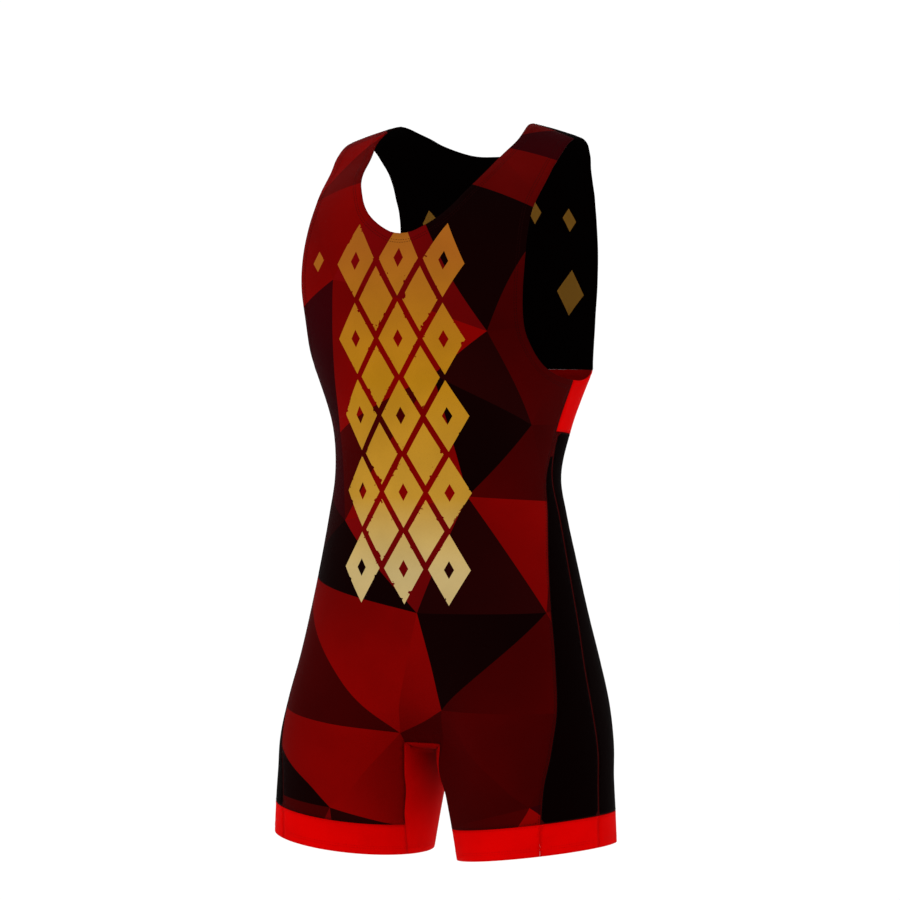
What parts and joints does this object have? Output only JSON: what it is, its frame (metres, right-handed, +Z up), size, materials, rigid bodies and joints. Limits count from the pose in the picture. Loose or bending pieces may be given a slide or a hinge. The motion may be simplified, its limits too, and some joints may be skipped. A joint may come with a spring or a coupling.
{
  "type": "wrestling singlet, worn form with nobody in it",
  "caption": "Sleeveless one-piece wrestling singlet with short legs, printed dark red front, black back and sides, bright red back band, inner legs and hems.",
  "frame": {"origin": "on the middle plane between the shoulder straps, level with their resting place on the wearer's shoulders", "axes": "+Z up to the head, -Y to the wearer's front, +X to the wearer's left"},
  "size_m": [0.416, 0.2517, 0.835],
  "materials": {
    "printed_dark_red_knit": "fine stretch knit with a slight sheen, printed in dark red facets and gold",
    "black_knit": "fine stretch knit with a slight sheen",
    "bright_red_knit": "fine stretch knit with a slight sheen"
  },
  "bodies": {
    "root": {"front_panel": "printed_dark_red_knit", "upper_back_panel": "black_knit", "back_band": "bright_red_knit", "lower_back_panel": "black_knit", "side_wedge_left": "black_knit", "side_wedge_right": "black_knit", "inner_leg_gusset": "bright_red_knit", "leg_band_front_left": "bright_red_knit", "leg_band_front_right": "bright_red_knit", "leg_band_side_left": "bright_red_knit", "leg_band_side_right": "bright_red_knit", "leg_band_back_left": "bright_red_knit", "leg_band_back_right": "bright_red_knit"}
  },
  "joints": []
}
